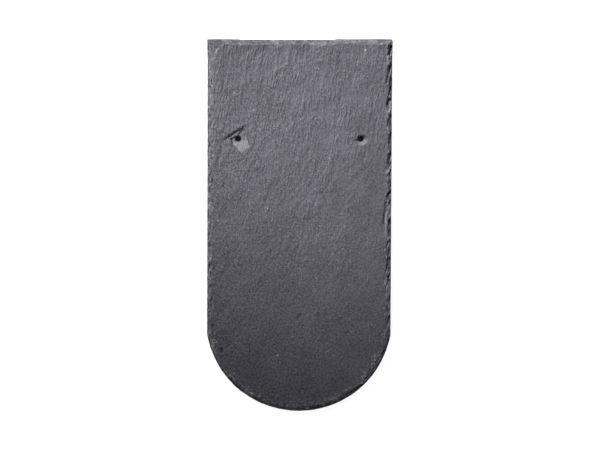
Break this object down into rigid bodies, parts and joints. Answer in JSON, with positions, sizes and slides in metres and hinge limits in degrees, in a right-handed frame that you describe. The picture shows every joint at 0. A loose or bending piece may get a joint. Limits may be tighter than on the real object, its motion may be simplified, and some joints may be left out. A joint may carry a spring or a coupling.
{
  "type": "slate roof tile",
  "caption": "Flat riven slate roof tile with a rounded tail, flaked dressed edges on its face, and punched nail holes for fixing to a batten.",
  "frame": {"origin": "middle of the back, on the plane that lies on the floor", "axes": "+X across the slate, +Y from the tail towards the head, +Z out of the dressed face"},
  "size_m": [0.1994, 0.4, 0.006],
  "materials": {
    "slate": "riven, matt dark grey, paler where freshly flaked"
  },
  "bodies": {
    "root": {"slate": "slate"}
  },
  "joints": []
}
